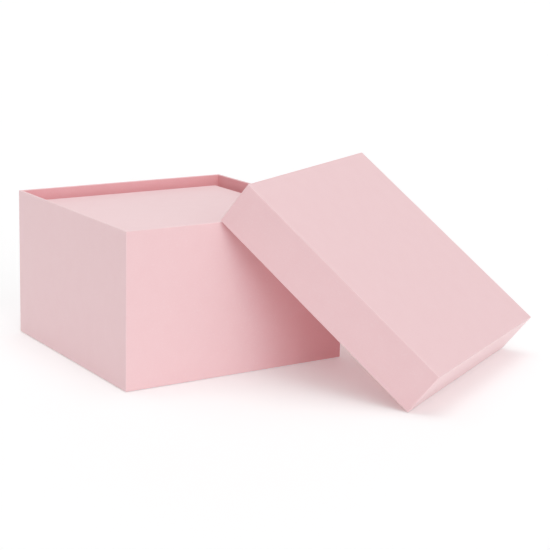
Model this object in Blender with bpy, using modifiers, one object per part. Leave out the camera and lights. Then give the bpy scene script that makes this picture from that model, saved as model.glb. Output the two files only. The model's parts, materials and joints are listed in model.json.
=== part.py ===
"""A square, paper-covered flower box set: a large box standing open, its lid leaning on one corner of it,
and a smaller lidded box nested inside.

Each of the four is a rigid set-up shell: a folded greyboard tray, a paper stay over each corner, an outer
wrap turned in over the rim, and a lining. The two boxes also have a base sheet over the wrap's turned edges.
The frame's origin is the middle of the large box's base, on the floor, with +Z up and +X along its front.
"""

import math

import bpy
import mathutils

# Driving dimensions of the set, in metres.
BOX_SIDE = 0.200
BOX_HEIGHT = 0.125
LID_DEPTH = 0.039
INNER_LID_DEPTH = 0.035

# Sheet thicknesses. GLUE_LINE is the space that glue takes between two sheets.
BOARD = 0.0012
PAPER = 0.0002
STAY_PAPER = 0.00015
GLUE_LINE = 0.00025

# How far papers reach past an edge.
TURN_IN = 0.016
TURN_UNDER = 0.015
STAY_LEG = 0.014
STAY_END_GAP = 0.002
BASE_SHEET_INSET = 0.0025

# Fits between the four shells.
LID_PLAY = 0.0003
SEAT_GAP = 0.0003
NEST_GAP = 0.0070
NEST_DROP = 0.0084

# How the large lid leans: the heading of its lower edge, the room that the box's corner has inside the lid,
# and how far the lid's left wall stands off the box's front face.
LEAN_HEADING = math.radians(28.86)
LEAN_CORNER_ROOM = 0.0036
LEAN_FRONT_ROOM = 0.0018

# Sheet stacks that follow from the above.
STAY_SPACE = GLUE_LINE + STAY_PAPER + GLUE_LINE
WALL = PAPER + STAY_SPACE + BOARD + GLUE_LINE + PAPER
CLOSED_END = PAPER + GLUE_LINE + BOARD + GLUE_LINE + PAPER
BASE_STEP = PAPER + GLUE_LINE

SCREW_MERGE = 0.00001

COLOURS = {
    "greyboard": (0.42, 0.39, 0.35),
    "stay_paper": (0.60, 0.50, 0.38),
    "wrap_paper": (0.84, 0.62, 0.64),
    "lining_paper": (0.80, 0.50, 0.54),
    "base_paper": (0.80, 0.58, 0.60),
}
ROUGHNESS = {
    "greyboard": 0.95,
    "stay_paper": 0.90,
    "wrap_paper": 0.80,
    "lining_paper": 0.85,
    "base_paper": 0.85,
}


def clear_scene():
    for obj in list(bpy.data.objects):
        bpy.data.objects.remove(obj, do_unlink=True)


def make_collection(name):
    collection = bpy.data.collections.new(name)
    bpy.context.scene.collection.children.link(collection)
    return collection


def make_material(name):
    material = bpy.data.materials.new(name)
    material.use_nodes = True
    shader = material.node_tree.nodes["Principled BSDF"]
    shader.inputs["Base Color"].default_value = (*COLOURS[name], 1.0)
    shader.inputs["Roughness"].default_value = ROUGHNESS[name]
    shader.inputs["Metallic"].default_value = 0.0
    material.diffuse_color = (*COLOURS[name], 1.0)
    return material


def add_empty(collection, name, parent=None, location=(0, 0, 0), rotation=(0, 0, 0)):
    empty = bpy.data.objects.new(name, None)
    empty.empty_display_size = 0.03
    empty.location = location
    empty.rotation_euler = rotation
    empty.parent = parent
    collection.objects.link(empty)
    return empty


def add_part(collection, name, mesh, parent, material):
    part = bpy.data.objects.new(name, mesh)
    part.parent = parent
    if not mesh.materials:
        mesh.materials.append(material)
    collection.objects.link(part)
    return part


def turned_square(collection, name, profile, parent, material, ring=False):
    """A profile of (half side, height) points, turned in four steps so that its flats face along X and Y.

    The profile lies in the corner's diagonal plane and runs down its outer side. A ring's profile closes
    on itself; any other starts and ends at half side 0.
    """
    points = [(half_side, half_side, height) for half_side, height in profile]
    edges = [(index, index + 1) for index in range(len(points) - 1)]
    if ring:
        edges.append((len(points) - 1, 0))
    mesh = bpy.data.meshes.new(name)
    mesh.from_pydata(points, edges, [])
    part = add_part(collection, name, mesh, parent, material)
    screw = part.modifiers.new("four_sides", "SCREW")
    screw.axis = "Z"
    screw.angle = math.tau
    screw.steps = 4
    screw.render_steps = 4
    screw.use_merge_vertices = True
    screw.merge_threshold = SCREW_MERGE
    screw.use_smooth_shade = False
    return part


def add_board(collection, shell, half_side, bottom, rim, parent, materials):
    """The greyboard tray: one scored sheet, folded up into a floor and four walls."""
    outer = half_side - PAPER - STAY_SPACE
    inner = outer - BOARD
    top = rim - PAPER - GLUE_LINE
    floor = bottom + PAPER + GLUE_LINE
    profile = [
        (0, floor + BOARD),
        (inner, floor + BOARD),
        (inner, top),
        (outer, top),
        (outer, floor),
        (0, floor),
    ]
    turned_square(collection, f"{shell}_board", profile, parent, materials["greyboard"])


def add_corner_stays(collection, shell, half_side, bottom, rim, parent, materials):
    """Four strips of stay paper, each folded round an upright corner of the board."""
    inside = half_side - PAPER - GLUE_LINE - STAY_PAPER
    low = bottom + PAPER + GLUE_LINE + STAY_END_GAP
    high = rim - PAPER - GLUE_LINE - STAY_END_GAP
    plan = [(inside, inside - STAY_LEG), (inside, inside), (inside - STAY_LEG, inside)]
    points = [(x, y, low) for x, y in plan] + [(x, y, high) for x, y in plan]
    mesh = bpy.data.meshes.new(f"{shell}_corner_stay")
    mesh.from_pydata(points, [], [(0, 1, 4, 3), (1, 2, 5, 4)])
    for number in range(4):
        name = f"{shell}_corner_stay_{number + 1}"
        stay = add_part(collection, name, mesh, parent, materials["stay_paper"])
        stay.rotation_euler.z = number * math.pi / 2
        thickness = stay.modifiers.new("thickness", "SOLIDIFY")
        thickness.thickness = STAY_PAPER
        thickness.offset = 1.0
        thickness.use_even_offset = True


def add_lid_wrap(collection, shell, half_side, rim, parent, materials):
    """A lid's covering paper: across the closed end, over each wall and rim, and turned in."""
    inner = half_side - WALL
    profile = [
        (0, PAPER),
        (half_side - PAPER, PAPER),
        (half_side - PAPER, rim - PAPER),
        (inner + PAPER, rim - PAPER),
        (inner + PAPER, rim - TURN_IN),
        (inner, rim - TURN_IN),
        (inner, rim),
        (half_side, rim),
        (half_side, 0),
        (0, 0),
    ]
    turned_square(collection, f"{shell}_wrap", profile, parent, materials["wrap_paper"])


def add_box_wrap(collection, shell, half_side, bottom, rim, parent, materials):
    """A box's covering paper: turned under the floor, up each wall, over the rim and turned in."""
    inner = half_side - WALL
    under = half_side - TURN_UNDER
    profile = [
        (under, bottom + PAPER),
        (half_side - PAPER, bottom + PAPER),
        (half_side - PAPER, rim - PAPER),
        (inner + PAPER, rim - PAPER),
        (inner + PAPER, rim - TURN_IN),
        (inner, rim - TURN_IN),
        (inner, rim),
        (half_side, rim),
        (half_side, bottom),
        (under, bottom),
    ]
    wrap = materials["wrap_paper"]
    turned_square(collection, f"{shell}_wrap", profile, parent, wrap, ring=True)


def add_lining(collection, shell, half_side, bottom, rim, parent, materials):
    """The lining: one sheet over the floor and up the walls to the wrap's turned-in edge."""
    inner = half_side - WALL
    floor = bottom + CLOSED_END
    top = rim - TURN_IN - GLUE_LINE
    profile = [
        (0, floor),
        (inner, floor),
        (inner, top),
        (inner + PAPER, top),
        (inner + PAPER, floor - PAPER),
        (0, floor - PAPER),
    ]
    turned_square(collection, f"{shell}_lining", profile, parent, materials["lining_paper"])


def add_base_sheet(collection, shell, half_side, parent, materials):
    """The flat sheet that a box stands on, a little smaller than the base."""
    edge = half_side - BASE_SHEET_INSET
    profile = [(0, PAPER), (edge, PAPER), (edge, 0), (0, 0)]
    turned_square(collection, f"{shell}_base_sheet", profile, parent, materials["base_paper"])


def add_box(collection, shell, side, height, parent, materials):
    """A box, standing on its base sheet at height 0 with its rim at the given height."""
    place = (collection, shell, side / 2, BASE_STEP, height, parent, materials)
    add_board(*place)
    add_corner_stays(*place)
    add_box_wrap(*place)
    add_lining(*place)
    add_base_sheet(collection, shell, side / 2, parent, materials)


def add_lid(collection, shell, side, depth, rim_frame, materials):
    """A lid, in a frame whose origin is the middle of its rim and whose +Z points out of its closed end."""
    flip = (math.pi, 0, 0)
    shell_frame = add_empty(collection, f"{shell}_frame", rim_frame, (0, 0, depth), flip)
    add_board(collection, shell, side / 2, 0, depth, shell_frame, materials)
    add_corner_stays(collection, shell, side / 2, 0, depth, shell_frame, materials)
    add_lid_wrap(collection, shell, side / 2, depth, shell_frame, materials)
    add_lining(collection, shell, side / 2, 0, depth, shell_frame, materials)


def leaning_lid_place(lid_side):
    """The middle of the leaning lid's rim, and its tilt.

    Its lower edge is on the floor and its upper end wall rests on the box's top edges, each with a
    SEAT_GAP, and the box's front right corner is inside the lid.
    """
    tilt = math.asin(BOX_HEIGHT / (lid_side - WALL))
    across = mathutils.Vector((math.cos(LEAN_HEADING), math.sin(LEAN_HEADING), 0))
    level = mathutils.Vector((-math.sin(LEAN_HEADING), math.cos(LEAN_HEADING), 0))
    upward = level * math.cos(tilt) + mathutils.Vector((0, 0, math.sin(tilt)))

    corner_height = LID_DEPTH - CLOSED_END - LEAN_CORNER_ROOM
    reach = (corner_height + SEAT_GAP * math.cos(tilt)) / math.sin(tilt)
    box_corner = mathutils.Vector((BOX_SIDE / 2, -BOX_SIDE / 2, BOX_HEIGHT))
    along = -(LEAN_FRONT_ROOM + reach * level.y) / across.y
    touch = box_corner + level * reach + across * along
    touch.z = BOX_HEIGHT + SEAT_GAP
    middle = touch + (across - upward) * (lid_side / 2 - WALL)
    return middle, tilt


def build():
    clear_scene()
    collection = make_collection("flower_box")
    materials = {name: make_material(name) for name in COLOURS}

    box_frame = add_empty(collection, "outer_box_frame")
    add_box(collection, "outer_box", BOX_SIDE, BOX_HEIGHT, box_frame, materials)

    lid_side = BOX_SIDE + 2 * (WALL + LID_PLAY)
    middle, tilt = leaning_lid_place(lid_side)
    turn = (tilt, 0, LEAN_HEADING)
    lid_frame = add_empty(collection, "outer_lid_rim_frame", None, middle, turn)
    add_lid(collection, "outer_lid", lid_side, LID_DEPTH, lid_frame, materials)

    inner_lid_side = BOX_SIDE - 2 * (WALL + NEST_GAP)
    inner_side = inner_lid_side - 2 * (WALL + LID_PLAY)
    inner_base = BASE_STEP + CLOSED_END + SEAT_GAP
    inner_lid_top = BOX_HEIGHT - NEST_DROP
    inner_rim = inner_lid_top - CLOSED_END - SEAT_GAP
    inner_frame = add_empty(collection, "inner_box_frame", box_frame, (0, 0, inner_base))
    add_box(collection, "inner_box", inner_side, inner_rim - inner_base, inner_frame, materials)

    inner_lid_rim = (0, 0, inner_lid_top - INNER_LID_DEPTH - inner_base)
    inner_lid_frame = add_empty(collection, "inner_lid_rim_frame", inner_frame, inner_lid_rim)
    add_lid(collection, "inner_lid", inner_lid_side, INNER_LID_DEPTH, inner_lid_frame, materials)


build()
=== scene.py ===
"""Looks of the nested flower box set: paper wraps with rounded folds, lapped corners and turned-in rims,
linings and base sheets, over the boards that the frame carries.
"""

import json
import math

import bmesh
import bpy
from mathutils import Matrix, Vector, noise


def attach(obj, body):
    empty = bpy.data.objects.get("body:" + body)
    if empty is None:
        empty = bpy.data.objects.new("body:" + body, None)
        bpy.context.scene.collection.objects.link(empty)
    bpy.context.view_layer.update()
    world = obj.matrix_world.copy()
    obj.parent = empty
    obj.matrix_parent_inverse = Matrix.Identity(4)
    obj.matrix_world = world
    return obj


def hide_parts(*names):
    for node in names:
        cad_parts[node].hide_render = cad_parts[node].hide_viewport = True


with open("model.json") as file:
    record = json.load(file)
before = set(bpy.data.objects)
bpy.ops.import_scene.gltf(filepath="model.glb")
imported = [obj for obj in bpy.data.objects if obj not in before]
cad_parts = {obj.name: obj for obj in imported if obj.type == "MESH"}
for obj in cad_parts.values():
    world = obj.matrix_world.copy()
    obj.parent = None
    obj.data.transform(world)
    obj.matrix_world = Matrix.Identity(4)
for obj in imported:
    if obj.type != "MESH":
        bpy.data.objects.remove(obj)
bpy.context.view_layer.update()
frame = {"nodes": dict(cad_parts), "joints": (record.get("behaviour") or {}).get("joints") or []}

MM = 0.001

SHELLS = ("outer_box", "outer_lid", "inner_box", "inner_lid")

# Papers. The CAD model's are a little thicker than the real sheet.
CAD_PAPER = 0.2 * MM
SHEET = 0.13 * MM
TURN_IN = 16 * MM
TURN_UNDER = 15 * MM

# The lining's upper edge steps away from the wall and laps over the wrap's turned-in edge.
LINING_LAP = 4 * MM
LINING_STEP = 1 * MM
LAP_CLEARANCE = 0.01 * MM

# Folds, which the CAD model leaves square.
CORNER_RADIUS = 0.80 * MM
EDGE_RADIUS = 0.65 * MM
MITRE_RADIUS = 0.15 * MM
LINING_RADIUS = 0.50 * MM
LEAST_RADIUS = 0.02 * MM
FOLD_STEPS = 6

# The wrap's laps: on two opposite walls the outer flap covers the ears of the other two walls. LAP_EDGE is
# how wide the step beside a flap is, and EAR_EDGE is half the width of the slope at an ear's end.
LAP_SET_BACK = 0.50 * MM
LAP_STEP = 0.09 * MM
LAP_EDGE = 0.04 * MM
EAR_WIDTH = 14 * MM
EAR_STEP = 0.04 * MM
EAR_EDGE = 0.4 * MM
MITRE_GROOVE = 0.12 * MM

# Unevenness of glued board and paper.
WALL_BOW = 0.14 * MM
PANEL_BOW = 0.20 * MM
PAPER_WAVE = 0.03 * MM
WAVES_PER_METRE = 28
SEED_STEP = 7.3

# A shell whose lean has a smaller sine than this stands upright.
LEAST_LEAN = 0.01

# How closely the sheets' points are set: rows up each stretch, and columns from a wall's corner inwards.
UNDER_ROWS = 4
WALL_ROWS = 14
TURN_IN_ROWS = 5
LINING_ROWS = 10
LAP_ROWS = 4
ROW_MARGIN = 0.5 * MM
CORNER_COLUMNS = (4 * MM, 9 * MM)
LAST_CORNER_COLUMN = 20 * MM
HALF_WALL_COLUMNS = 8
BASE_BORDER = 2 * MM

# Folds sharper than this, in degrees, are shaded as edges.
SHARP_ANGLE = 38

# How much paler than the rest a cut edge or a fold is made, from 0 to 1. On cut edges this is wear. Along
# the outer folds, the corner seams and the rim it is partly wear and partly a painted highlight.
CUT_RUB = 0.8
SEAM_RUB_AND_HIGHLIGHT = 0.8
BASE_RUB = 0.6
RIM_RUB_AND_HIGHLIGHT = 0.4
CREASE_RUB = 0.3

# Each paper's own colour, and the paler and deeper colours that it varies to. Folds, seams and the rim are
# mixed towards the paler one, partly as wear and partly as a painted highlight.
WRAP = ((0.90, 0.55, 0.575), (0.93, 0.65, 0.67), (0.885, 0.53, 0.555))
# The inside's deeper pink is painted shade on paper that faces into a shell, the turned-in wrap included.
# On the lining it is also a guessed deeper paper.
INSIDE_PINK_AND_SHADE = ((0.93, 0.46, 0.485), (0.94, 0.59, 0.61), (0.92, 0.44, 0.465))
SHEEN = 0.35
SHEEN_ROUGHNESS = 0.5
PAPER_ROUGHNESS = (0.42, 0.52)

# The paper's patterns: features a metre, detail, and a scale for each axis, which draws the fibres out
# along the axes where it is small.
CLOUDS = (70, 3)
RUB_AND_HIGHLIGHT_PATCHES = (260, 2)
FIBRES = (1300, 4, (1.0, 0.3, 0.6))
CROSS_FIBRES = (1700, 4, (0.3, 1.0, 0.5))
GRAIN = (2600, 3, (1.0, 0.5, 0.8))

# A fleck shows where a fibre is strong, and a fold's paler rub and painted highlight come in patches.
FLECK_RANGE = (0.56, 0.74)
FLECK_STRENGTH = 0.32
RUB_AND_HIGHLIGHT_RANGE = (0.2, 0.6)

# Greyboard and the stays' kraft paper: the colour between the fibres, and the fibres' own.
GREYBOARD = ((0.36, 0.33, 0.29), (0.52, 0.49, 0.44))
KRAFT = ((0.52, 0.42, 0.30), (0.66, 0.56, 0.42))
BOARD_ROUGHNESS = 0.92
BOARD_FIBRES = (900, 5, (1.0, 0.4, 0.4))

# Fine reliefs: strength and height.
PAPER_RELIEF = (0.5, 0.06 * MM)
BOARD_RELIEF = (0.4, 0.05 * MM)

# The part of a noise's range that most of it lies in.
MIDDLE_HALF = (0.25, 0.75)

# The camera. Its yaw, pitch and roll are in degrees.
CAMERA_PLACE = (-0.59823, -1.06365, 0.34561)
CAMERA_YAW = 32.329
CAMERA_PITCH = 10.993
CAMERA_ROLL = 1.091
CAMERA_LENS = 96.98
CAMERA_SENSOR = 36
CAMERA_SHIFT = (0.04, -0.10)
CAMERA_REACH = 100

# The studio: a white tent, brightest overhead, and a floor that glows a little. A light has the way to it
# and its strength. LIGHT_SPREAD is its apparent size in degrees.
WHITE = (1, 1, 1, 1)
SKY_HORIZON = 0.0
SKY_ZENITH = 0.81
SKY_SEEN = 1.2
LIGHT_SPREAD = 45
LIGHTS = {
    "top_light": ((0.0, 0.0, 1.0), 0.94),
    "front_light": ((-0.2, -1.0, 0.6), 0.88),
    "low_front_light": ((0.1, -1.0, 0.2), 0.51),
    "back_light": ((-0.4, 0.8, 1.0), 0.27),
    "backdrop_light": ((0.52, 0.85, 0.22), 0.50),
}
FLOOR_SIDE = 40
FLOOR_DROP = 0.05 * MM
FLOOR_COLOUR = (0.93, 0.93, 0.93, 1)
FLOOR_ROUGHNESS = 0.9
FLOOR_SPECULAR = 0.1
FLOOR_GLOW = 0.18

# The camera's response: straight up to its knee, then a soft shoulder up to white.
WHITE_LEVEL = 1.2
RESPONSE = ((0.3, 0.3), (0.5, 0.5), (1.0, 0.871))
ALL_COLOURS_CURVE = 3


# ---------------------------------------------------------------- materials


class Graph:
    """The nodes of a material or world, with short ways to add the kinds that the looks are made of."""

    def __init__(self, owner):
        owner.use_nodes = True
        self.nodes = owner.node_tree.nodes
        self.links = owner.node_tree.links

    def add_noise(self, scale, detail, stretch=(1, 1, 1)):
        """A noise over object coordinates. Its scale is in features a metre."""
        place = self.nodes.new("ShaderNodeTexCoord").outputs["Object"]
        mapping = self.nodes.new("ShaderNodeMapping")
        mapping.inputs["Scale"].default_value = stretch
        self.links.new(place, mapping.inputs["Vector"])
        texture = self.nodes.new("ShaderNodeTexNoise")
        texture.inputs["Scale"].default_value = scale
        texture.inputs["Detail"].default_value = detail
        self.links.new(mapping.outputs["Vector"], texture.inputs["Vector"])
        return texture.outputs["Fac"]

    def add_attribute(self, name):
        """A number that a sheet's mesh holds at each point."""
        node = self.nodes.new("ShaderNodeAttribute")
        node.attribute_name = name
        return node.outputs["Fac"]

    def remap(self, value, target, source=MIDDLE_HALF):
        """Stretch one range of a value over another."""
        node = self.nodes.new("ShaderNodeMapRange")
        for name, number in zip(("From Min", "From Max", "To Min", "To Max"), (*source, *target)):
            node.inputs[name].default_value = number
        self.links.new(value, node.inputs["Value"])
        return node.outputs["Result"]

    def combine(self, operation, first, second):
        """Two values worked into one."""
        node = self.nodes.new("ShaderNodeMath")
        node.operation = operation
        self.links.new(first, node.inputs[0])
        self.links.new(second, node.inputs[1])
        return node.outputs["Value"]

    def mix(self, factor, first, second):
        """A colour mix. Each of the two may be a colour or a socket."""
        node = self.nodes.new("ShaderNodeMix")
        node.data_type = "RGBA"
        self.links.new(factor, node.inputs["Factor"])
        for socket, value in ((node.inputs["A"], first), (node.inputs["B"], second)):
            if isinstance(value, tuple):
                socket.default_value = (*value, 1.0)
            else:
                self.links.new(value, socket)
        return node.outputs["Result"]

    def roughen(self, shader, height, strength, distance):
        """Give a shader's surface a fine relief."""
        bump = self.nodes.new("ShaderNodeBump")
        bump.inputs["Strength"].default_value = strength
        bump.inputs["Distance"].default_value = distance
        self.links.new(height, bump.inputs["Height"])
        self.links.new(bump.outputs["Normal"], shader.inputs["Normal"])


def paper_tone(graph, fibres):
    """Cloudy formation, fine fibres, and folds rubbed a little paler, which is partly wear and partly a
    painted highlight. The side that faces into a shell is a deeper pink. That is painted shade, and on the
    lining it is also a guessed deeper paper."""
    # Painted shade: paper that faces into a shell is mixed towards the inside's deeper pink.
    inner = graph.add_attribute("inside")
    colour, pale, deep = [graph.mix(inner, *pair) for pair in zip(WRAP, INSIDE_PINK_AND_SHADE)]
    cloud = graph.remap(graph.add_noise(*CLOUDS), (0, 1))
    flecks = graph.remap(fibres, (0, FLECK_STRENGTH), FLECK_RANGE)
    patches = graph.remap(graph.add_noise(*RUB_AND_HIGHLIGHT_PATCHES), RUB_AND_HIGHLIGHT_RANGE)
    # Painted highlight and wear: folds, seams, the rim and cut edges are mixed towards the paler colour,
    # in patches.
    rub_and_highlight = graph.combine("MULTIPLY", graph.add_attribute("fold"), patches)
    tone = graph.mix(flecks, graph.mix(cloud, deep, colour), pale)
    return graph.mix(rub_and_highlight, tone, pale)


def paper_material(name):
    """Dyed wrapping paper with a soft sheen."""
    material = bpy.data.materials.new(name)
    graph = Graph(material)
    shader = graph.nodes["Principled BSDF"]
    shader.inputs["Sheen Weight"].default_value = SHEEN
    shader.inputs["Sheen Roughness"].default_value = SHEEN_ROUGHNESS

    along = graph.add_noise(*FIBRES)
    across = graph.add_noise(*CROSS_FIBRES)
    tone = paper_tone(graph, graph.combine("MAXIMUM", along, across))
    graph.links.new(tone, shader.inputs["Base Color"])
    graph.links.new(graph.remap(along, PAPER_ROUGHNESS), shader.inputs["Roughness"])
    tooth = graph.combine("ADD", graph.add_noise(*GRAIN), graph.combine("ADD", along, across))
    graph.roughen(shader, tooth, *PAPER_RELIEF)
    return material


def fibre_board_material(name, ground, fibre):
    """Recycled greyboard or kraft stay paper, with coarse fibres."""
    material = bpy.data.materials.new(name)
    graph = Graph(material)
    shader = graph.nodes["Principled BSDF"]
    shader.inputs["Roughness"].default_value = BOARD_ROUGHNESS
    coarse = graph.remap(graph.add_noise(*BOARD_FIBRES), (0, 1))
    graph.links.new(graph.mix(coarse, ground, fibre), shader.inputs["Base Color"])
    graph.roughen(shader, coarse, *BOARD_RELIEF)
    return material


# ---------------------------------------------------------------- the shells' own frames


def span(node, axis):
    """How far a CAD node reaches along an axis."""
    along = [vertex.co.dot(axis) for vertex in frame["nodes"][node].data.vertices]
    return min(along), max(along)


class Shell:
    """One box or lid: its sizes, and its own frame, with the origin in the middle of its closed end and
    +Z from there to its rim."""

    def __init__(self, name):
        self.name = name
        self.is_lid = name.endswith("lid")
        self.seed = Vector((SHELLS.index(name) * SEED_STEP, 0, 0))
        across, upward, normal = self.own_axes()
        opening = -1 if self.is_lid else 1
        axes = (across, upward * opening, normal * opening)
        outside = [span(f"{name}_wrap", axis) for axis in axes]
        inside = span(f"{name}_lining", axes[0])
        floor = span(f"{name}_lining", axes[2])[0]
        closed_end = outside[2][0]
        if not self.is_lid:
            closed_end = span(f"{name}_base_sheet", axes[2])[0]
        self.half = (outside[0][1] - outside[0][0]) / 2
        self.inner_half = (inside[1] - inside[0]) / 2 - CAD_PAPER
        self.bottom = outside[2][0] - closed_end
        self.rim = outside[2][1] - closed_end
        self.floor = floor - closed_end + CAD_PAPER
        middle = [(low + high) / 2 for low, high in outside[:2]] + [closed_end]
        self.place = Matrix(axes).transposed().to_4x4()
        self.place.translation = sum((axis * value for axis, value in zip(axes, middle)), Vector())

    def own_axes(self):
        """Across, upward and outward: the world's axes, except on a lid that leans."""
        normal = Vector((0, 0, 1))
        for joint in frame["joints"]:
            if joint["child"] == self.name and self.is_lid:
                normal = Vector(joint["axis"]).normalized()
        across = Vector((-normal.y, normal.x, 0))
        if across.length < LEAST_LEAN:
            across = Vector((1, 0, 0))
        across.normalize()
        return across, normal.cross(across), normal


# ---------------------------------------------------------------- profiles of folded paper


DOWN, OUT, UP, BACK = (0, -1), (1, 0), (0, 1), (-1, 0)


class Spot:
    """One point of a sheet's profile. It has a half side and a height, the way that its side faces (out
    and up), the corner radius there, the region of the sheet, how far the wall's laps reach (lap), and how
    sharply the paper is folded or cut (fold), which makes it paler there. That is wear, and along the
    outer folds it is partly a painted highlight."""

    def __init__(self, half, height, facing, radius, region, lap=0.0, fold=0.0):
        self.half = half
        self.height = height
        self.out, self.up = facing
        self.radius = radius
        self.region = region
        self.lap = lap
        self.fold = fold

    def inside(self):
        """Nought on what faces out of the shell, and one on what faces into it, where the deeper pink of
        painted shade goes.
        """
        return 1.0 if self.region == "lining" else max(0.0, -self.out)


def blend(first, second, share):
    return first + (second - first) * share


def smooth_step(value):
    value = min(max(value, 0.0), 1.0)
    return value * value * (3 - 2 * value)


def arc(centre, radius, angles, corners, region, laps=(0, 0), hollow=False):
    """Spots round a fold, from one facing angle to another, in degrees from straight outwards."""
    spots = []
    reach = -radius if hollow else radius
    for step in range(FOLD_STEPS + 1):
        share = step / FOLD_STEPS
        angle = math.radians(blend(*angles, share))
        facing = (math.cos(angle), math.sin(angle))
        half = centre[0] + reach * facing[0]
        height = centre[1] + reach * facing[1]
        # Paler towards the middle of a fold: partly wear, partly a painted highlight along the rounded
        # fold.
        fold = math.sin(math.pi * share)
        lap = blend(*laps, share)
        spots.append(Spot(half, height, facing, blend(*corners, share), region, lap, fold))
    return spots


def rows_between(start, end, count):
    """Values from start to end without the ends: one close to each of them, and the rest even."""
    margin = math.copysign(ROW_MARGIN, end - start)
    return [blend(start + margin, end - margin, row / (count - 1)) for row in range(count)]


def wrap_profile(shell):
    """The visible side of the wrap: closed end, outer wall, rim and turned-in edge."""
    half, low, top = shell.half, shell.bottom, shell.rim - EDGE_RADIUS
    edge = half - EDGE_RADIUS
    inner = shell.inner_half + EDGE_RADIUS
    turned = shell.rim - TURN_IN
    spots = []
    if not shell.is_lid:
        spots.append(Spot(half - TURN_UNDER, low, DOWN, MITRE_RADIUS, "under", fold=CUT_RUB))
        for value in rows_between(half - TURN_UNDER, edge, UNDER_ROWS):
            spots.append(Spot(value, low, DOWN, MITRE_RADIUS, "under"))
    base_corner = (MITRE_RADIUS, CORNER_RADIUS)
    spots += arc((edge, low + EDGE_RADIUS), EDGE_RADIUS, (-90, 0), base_corner, "wall", (0, 1))
    for value in rows_between(low + EDGE_RADIUS, top, WALL_ROWS):
        spots.append(Spot(half, value, OUT, CORNER_RADIUS, "wall", lap=1))
    rim_corner = (CORNER_RADIUS, MITRE_RADIUS)
    spots += arc((edge, top), EDGE_RADIUS, (0, 90), rim_corner, "wall", (1, 0))
    spots.append(Spot((edge + inner) / 2, shell.rim, UP, MITRE_RADIUS, "rim", fold=RIM_RUB_AND_HIGHLIGHT))
    inner_corner = (MITRE_RADIUS, LINING_RADIUS)
    spots += arc((inner, top), EDGE_RADIUS, (90, 180), inner_corner, "rim")
    for value in rows_between(top, turned, TURN_IN_ROWS):
        spots.append(Spot(shell.inner_half, value, BACK, LINING_RADIUS, "rim"))
    spots.append(Spot(shell.inner_half, turned, BACK, LINING_RADIUS, "rim", fold=CUT_RUB))
    return spots


def lining_profile(shell):
    """The visible side of the lining: crease and inner walls, round a floor. Its upper edge laps over the
    wrap's turned-in edge."""
    inner = shell.inner_half
    turned = shell.rim - TURN_IN
    centre = (inner - LINING_RADIUS, shell.floor + LINING_RADIUS)
    corners = (MITRE_RADIUS, LINING_RADIUS)
    spots = arc(centre, LINING_RADIUS, (90, 180), corners, "lining", hollow=True)
    for spot in spots:
        spot.fold *= CREASE_RUB
    for value in rows_between(centre[1], turned - LINING_STEP, LINING_ROWS):
        spots.append(Spot(inner, value, BACK, LINING_RADIUS, "lining"))
    lapped = inner - SHEET - LAP_CLEARANCE
    for step in range(FOLD_STEPS + 1):
        share = step / FOLD_STEPS
        half = blend(inner, lapped, smooth_step(share))
        height = turned - LINING_STEP * (1 - share)
        spots.append(Spot(half, height, BACK, LINING_RADIUS, "lining"))
    for value in rows_between(turned, turned + LINING_LAP, LAP_ROWS):
        spots.append(Spot(lapped, value, BACK, LINING_RADIUS, "lining"))
    spots.append(Spot(lapped, turned + LINING_LAP, BACK, LINING_RADIUS, "lining", fold=CUT_RUB))
    return spots


def base_profile(shell):
    """The visible underside of a base sheet: its cut edge, round a flat panel."""
    low, high = span(f"{shell.name}_base_sheet", Vector((1, 0, 0)))
    half = (high - low) / 2
    border = Spot(half - BASE_BORDER, 0, DOWN, MITRE_RADIUS, "under")
    return [border, Spot(half, 0, DOWN, MITRE_RADIUS, "under", fold=BASE_RUB)]


# ---------------------------------------------------------------- sheets


def flat_shares(flat):
    """Places along a flat wall from -1 to 1. They crowd where paper laps near the corners."""
    near = [0, LAP_SET_BACK, LAP_SET_BACK + LAP_EDGE, *CORNER_COLUMNS]
    near += [EAR_WIDTH - EAR_EDGE, EAR_WIDTH + EAR_EDGE, LAST_CORNER_COLUMN]
    shares = [1 - distance / flat for distance in near]
    last = shares[-1]
    shares += [last * (1 - column / HALF_WALL_COLUMNS) for column in range(1, HALF_WALL_COLUMNS)]
    return [-share for share in shares] + [0.0] + shares[::-1]


def wall_relief(shell, spot, side, share, flat):
    """How far a wall's paper lies below the CAD surface: bow, and laps over the ears."""
    rise = (spot.height - shell.bottom) / (shell.rim - shell.bottom)
    bow = WALL_BOW * (1 - share * share) * math.sin(math.pi * min(max(rise, 0), 1))
    if side % 2:
        return bow + LAP_STEP * spot.lap
    from_corner = (1 - abs(share)) * flat
    past_ear = smooth_step((from_corner - EAR_WIDTH + EAR_EDGE) / (2 * EAR_EDGE))
    past_flap = 1 if from_corner < LAP_SET_BACK + LAP_EDGE / 2 else 0
    return bow + (EAR_STEP * past_ear + LAP_STEP * past_flap) * spot.lap


def wave(shell, point):
    return PAPER_WAVE * (noise.noise(Vector(point) * WAVES_PER_METRE + shell.seed) + 1)


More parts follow.
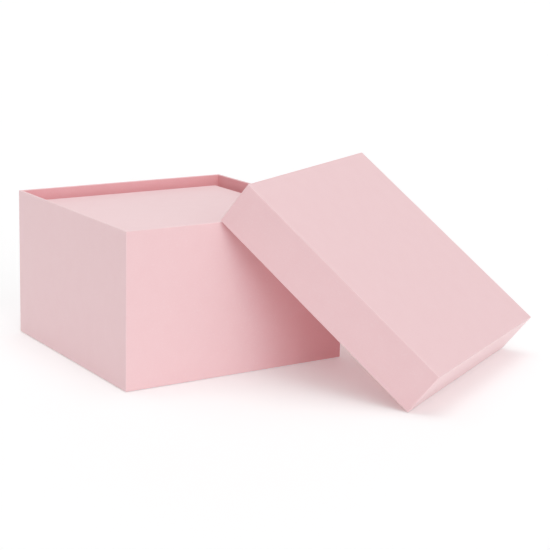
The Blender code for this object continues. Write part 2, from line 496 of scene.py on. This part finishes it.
class Sheet:
    """A closed sheet of paper, built from the profile of its visible side. Either both of the profile's
    ends are free edges, or its first end is closed by a panel that faces down (-1) or up (1)."""

    def __init__(self, shell, spots, panel_facing=0):
        self.shell = shell
        self.spots = spots
        self.panel_facing = panel_facing
        self.flat = shell.half - CORNER_RADIUS
        self.shares = flat_shares(self.flat)
        self.points = []
        self.folds = []
        self.inside_shade_values = []
        self.faces = []

    def add_point(self, point, fold, inside):
        self.points.append(point)
        self.folds.append(fold)
        self.inside_shade_values.append(inside)
        return len(self.points) - 1

    def panel_depth(self, x, y):
        """How far a panel lies below the CAD surface. A bow has its deepest place in the middle."""
        across, along = x / self.shell.half, y / self.shell.half
        bow = PANEL_BOW * (1 - across * across) * (1 - along * along)
        return bow + wave(self.shell, (x, y, self.panel_facing))

    def add_flat_point(self, spot, side, share, skin):
        along = share * (spot.half - spot.radius)
        turn = Matrix.Rotation(side * math.pi / 2, 2)
        plan = turn @ Vector((along, -spot.half))
        depth = wave(self.shell, (*plan, spot.height)) * abs(spot.out) + skin
        if spot.region == "wall":
            depth += wall_relief(self.shell, spot, side, share, self.flat)
        elif spot.up and self.panel_facing:
            depth += self.panel_depth(*plan) * abs(spot.up)
        plan = turn @ Vector((along, spot.out * depth - spot.half))
        point = (*plan, spot.height - spot.up * depth)
        return self.add_point(point, spot.fold, spot.inside())

    def add_corner_point(self, spot, side, step, skin):
        angle = math.radians(90 * (side - 1 + step / FOLD_STEPS))
        on_mitre = spot.region == "rim" and 2 * step == FOLD_STEPS
        groove = MITRE_GROOVE if on_mitre else 0
        depth = LAP_STEP * spot.lap + groove + PAPER_WAVE + skin
        radius = max(spot.radius - spot.out * depth, LEAST_RADIUS)
        middle = spot.half - spot.out * depth - radius
        corner = Matrix.Rotation(side * math.pi / 2, 2) @ Vector((middle, -middle))
        plan = corner + Vector((math.cos(angle), math.sin(angle))) * radius
        # The corner seams are paler: partly wear, partly a painted highlight down the corner.
        fold = max(spot.fold, SEAM_RUB_AND_HIGHLIGHT * spot.lap)
        return self.add_point((*plan, spot.height - spot.up * depth), fold, spot.inside())

    def add_ring(self, spot, skin):
        ring = []
        for side in range(4):
            ring += [self.add_flat_point(spot, side, share, skin) for share in self.shares]
            ring += [self.add_corner_point(spot, side, step, skin) for step in range(1, FOLD_STEPS)]
        return ring

    def join_rings(self, first, second):
        for column, start in enumerate(first):
            after = (column + 1) % len(first)
            self.faces.append((start, first[after], second[after], second[column]))

    def add_grid(self, spot, skin):
        """A panel's points, in rows and columns, and the faces between them."""
        flat = spot.half - spot.radius
        grid = {}
        for column, across in enumerate(self.shares):
            for row, along in enumerate(self.shares):
                x, y = across * flat, along * flat
                height = spot.height - self.panel_facing * (self.panel_depth(x, y) + skin)
                grid[column, row] = self.add_point((x, y, height), 0.0, spot.inside())
        for column in range(len(self.shares) - 1):
            for row in range(len(self.shares) - 1):
                corners = ((column, row), (column + 1, row), (column + 1, row + 1), (column, row + 1))
                self.faces.append(tuple(grid[corner] for corner in corners))
        return grid

    def close_ring(self, ring, spot, skin):
        """Close a ring with a panel: a grid, a strip round it, and a fan in each corner."""
        grid = self.add_grid(spot, skin)
        last = len(self.shares) - 1
        width = last + FOLD_STEPS
        for side in range(4):
            edge = []
            for step in range(last + 1):
                on_each_side = ((step, 0), (last, step), (last - step, last), (0, last - step))
                edge.append(grid[on_each_side[side]])
            start = side * width
            for step in range(last):
                near, far = ring[start + step], ring[start + step + 1]
                self.faces.append((near, far, edge[step + 1], edge[step]))
            for step in range(last, width):
                far = ring[(start + step + 1) % len(ring)]
                self.faces.append((ring[start + step], far, edge[last]))

    def build(self):
        """The visible side, the hidden side behind it, and what closes them to one skin."""
        shown = [self.add_ring(spot, 0) for spot in self.spots]
        hidden = [self.add_ring(spot, SHEET) for spot in self.spots]
        for rings in (shown, hidden):
            for first, second in zip(rings, rings[1:]):
                self.join_rings(first, second)
        self.join_rings(shown[-1], hidden[-1])
        if self.panel_facing:
            self.close_ring(shown[0], self.spots[0], 0)
            self.close_ring(hidden[0], self.spots[0], SHEET)
        else:
            self.join_rings(shown[0], hidden[0])

    def to_mesh(self, name):
        self.build()
        mesh = bpy.data.meshes.new(name)
        mesh.from_pydata(self.points, [], self.faces)
        # Painted shade: the inside values mark where the inside's deeper pink goes.
        for attribute, values in (("fold", self.folds), ("inside", self.inside_shade_values)):
            mesh.attributes.new(attribute, "FLOAT", "POINT").data.foreach_set("value", values)
        shape = bmesh.new()
        shape.from_mesh(mesh)
        bmesh.ops.recalc_face_normals(shape, faces=shape.faces)
        shape.to_mesh(mesh)
        shape.free()
        mesh.shade_smooth()
        mesh.set_sharp_from_angle(angle=math.radians(SHARP_ANGLE))
        return mesh


def add_sheet(shell, kind, spots, panel_facing, material):
    """A sheet of paper in place of a shell's CAD sheet."""
    node = f"{shell.name}_{kind}"
    name = f"{node}_paper"
    piece = bpy.data.objects.new(name, Sheet(shell, spots, panel_facing).to_mesh(name))
    piece.data.materials.append(material)
    bpy.context.scene.collection.objects.link(piece)
    piece.matrix_world = shell.place
    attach(piece, shell.name)
    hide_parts(node)


# ---------------------------------------------------------------- the studio


def add_camera():
    """The camera, turned by its yaw, tilted down by its pitch and rolled about its own line of sight."""
    data = bpy.data.cameras.new("camera")
    data.lens = CAMERA_LENS
    data.sensor_width = CAMERA_SENSOR
    data.shift_x, data.shift_y = CAMERA_SHIFT
    data.clip_end = CAMERA_REACH
    camera = bpy.data.objects.new("camera", data)
    camera.location = CAMERA_PLACE
    turns = ((-CAMERA_YAW, "Z"), (90 - CAMERA_PITCH, "X"), (CAMERA_ROLL, "Z"))
    yaw, tilt, roll = [Matrix.Rotation(math.radians(angle), 3, axis) for angle, axis in turns]
    camera.rotation_euler = (yaw @ tilt @ roll).to_euler()
    bpy.context.scene.collection.objects.link(camera)
    bpy.context.scene.camera = camera


def add_soft_light(name, towards, strength):
    """A distant soft light, which lights the whole floor evenly."""
    data = bpy.data.lights.new(name, "SUN")
    data.angle = math.radians(LIGHT_SPREAD)
    data.energy = strength
    light = bpy.data.objects.new(name, data)
    light.rotation_euler = (-Vector(towards)).to_track_quat("-Z", "Y").to_euler()
    bpy.context.scene.collection.objects.link(light)


def add_sky():
    """A white tent, brightest overhead. Where the camera sees past the floor, it is plain white."""
    world = bpy.data.worlds.new("studio")
    graph = Graph(world)
    nodes, links = graph.nodes, graph.links
    split = nodes.new("ShaderNodeSeparateXYZ")
    links.new(nodes.new("ShaderNodeTexCoord").outputs["Generated"], split.inputs["Vector"])
    lit = nodes["Background"]
    lit.inputs["Color"].default_value = WHITE
    level = graph.remap(split.outputs["Z"], (SKY_HORIZON, SKY_ZENITH), (0, 1))
    links.new(level, lit.inputs["Strength"])
    seen = nodes.new("ShaderNodeBackground")
    seen.inputs["Color"].default_value = WHITE
    seen.inputs["Strength"].default_value = SKY_SEEN
    choice = nodes.new("ShaderNodeMixShader")
    links.new(nodes.new("ShaderNodeLightPath").outputs["Is Camera Ray"], choice.inputs["Fac"])
    links.new(lit.outputs["Background"], choice.inputs[1])
    links.new(seen.outputs["Background"], choice.inputs[2])
    links.new(choice.outputs["Shader"], nodes["World Output"].inputs["Surface"])
    bpy.context.scene.world = world


def add_floor():
    """A white floor that glows a little, so that shadows on it stay faint."""
    bpy.ops.mesh.primitive_plane_add(size=FLOOR_SIDE, location=(0, 0, -FLOOR_DROP))
    floor = bpy.context.object
    floor.name = "floor"
    material = bpy.data.materials.new("floor_white")
    shader = Graph(material).nodes["Principled BSDF"]
    shader.inputs["Base Color"].default_value = FLOOR_COLOUR
    shader.inputs["Roughness"].default_value = FLOOR_ROUGHNESS
    shader.inputs["Specular IOR Level"].default_value = FLOOR_SPECULAR
    shader.inputs["Emission Color"].default_value = WHITE
    shader.inputs["Emission Strength"].default_value = FLOOR_GLOW
    floor.data.materials.append(material)


def set_response():
    """A photographic shoulder: the brightest tones are drawn together below white."""
    view = bpy.context.scene.view_settings
    view.view_transform = "Standard"
    view.use_curve_mapping = True
    mapping = view.curve_mapping
    mapping.white_level = (WHITE_LEVEL, WHITE_LEVEL, WHITE_LEVEL)
    for level, shown in RESPONSE:
        mapping.curves[ALL_COLOURS_CURVE].points.new(level / WHITE_LEVEL, shown)
    mapping.update()


# ---------------------------------------------------------------- the scene


def dress(shell, wrap, lining, base):
    """A shell's papers: wrap and lining, and a box's base sheet."""
    add_sheet(shell, "wrap", wrap_profile(shell), -1 if shell.is_lid else 0, wrap)
    add_sheet(shell, "lining", lining_profile(shell), 1, lining)
    if not shell.is_lid:
        add_sheet(shell, "base_sheet", base_profile(shell), -1, base)


def paint_boards():
    """Boards and corner stays keep their CAD shapes, and get their own materials."""
    board = fibre_board_material("greyboard", *GREYBOARD)
    stay = fibre_board_material("stay_kraft", *KRAFT)
    for name, node in frame["nodes"].items():
        if name.endswith("_board"):
            node.data.materials.clear()
            node.data.materials.append(board)
        if "corner_stay" in name:
            node.data.materials.clear()
            node.data.materials.append(stay)


def main():
    add_camera()
    add_sky()
    add_floor()
    for name, light in LIGHTS.items():
        add_soft_light(name, *light)
    set_response()
    papers = [paper_material(name) for name in ("wrap_pink", "lining_pink", "base_pink")]
    for name in SHELLS:
        dress(Shell(name), *papers)
    paint_boards()


main()
